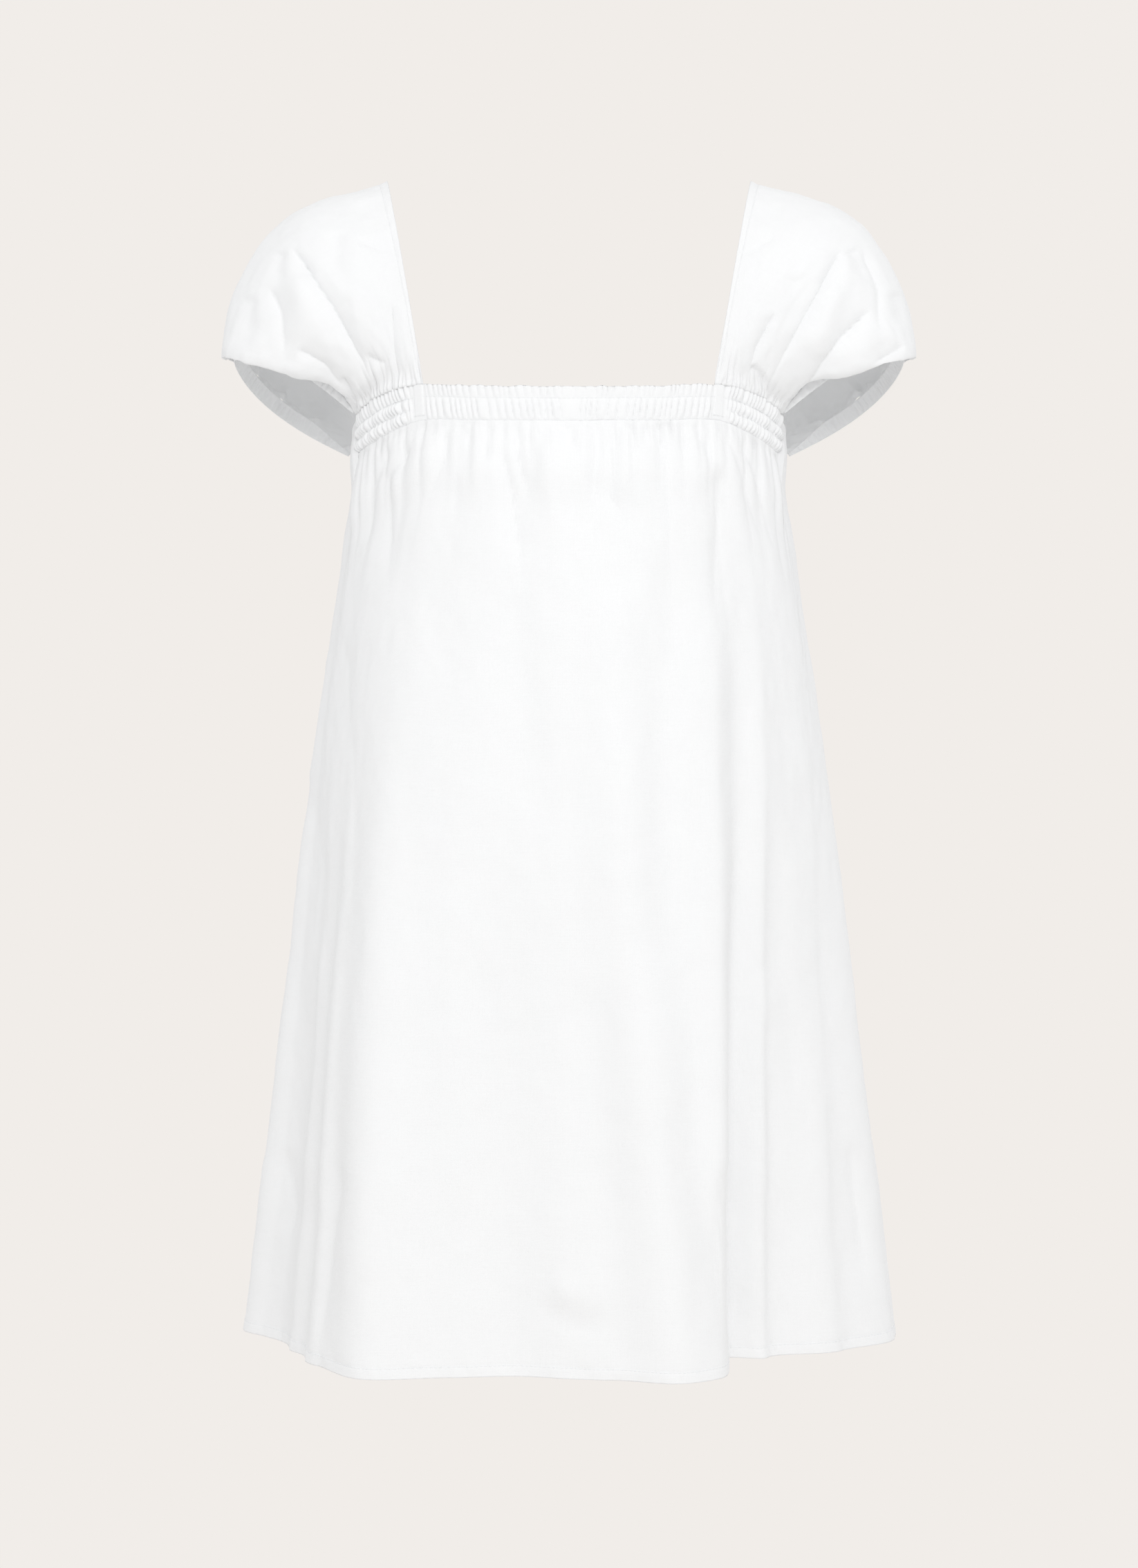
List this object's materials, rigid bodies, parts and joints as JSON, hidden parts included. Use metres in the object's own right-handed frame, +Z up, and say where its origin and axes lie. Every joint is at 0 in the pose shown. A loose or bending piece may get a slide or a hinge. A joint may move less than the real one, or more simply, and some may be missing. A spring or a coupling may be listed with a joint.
{
  "type": "mini dress with square neckline and puffed cap sleeves",
  "caption": "Worn, hollow mini dress: square neck on gathered elastic bands, puffed cap sleeves with elastic arm openings, flared skirt with long soft folds.",
  "frame": {"origin": "midway between the tops of the two sleeves, where the wearer's shoulders hold the dress up", "axes": "+Z up along the dress, -Y out of its front, +X towards the wearer's left"},
  "size_m": [0.506, 0.3601, 0.8327],
  "materials": {
    "linen": "matte"
  },
  "bodies": {
    "root": {"front_panel": "linen", "back_panel": "linen", "front_band": "linen", "back_band": "linen", "front_band_tab_right": "linen", "front_band_tab_left": "linen", "back_band_tab_right": "linen", "back_band_tab_left": "linen", "sleeve_right": "linen", "sleeve_left": "linen", "sleeve_casing_right": "linen", "sleeve_casing_left": "linen"}
  },
  "joints": []
}
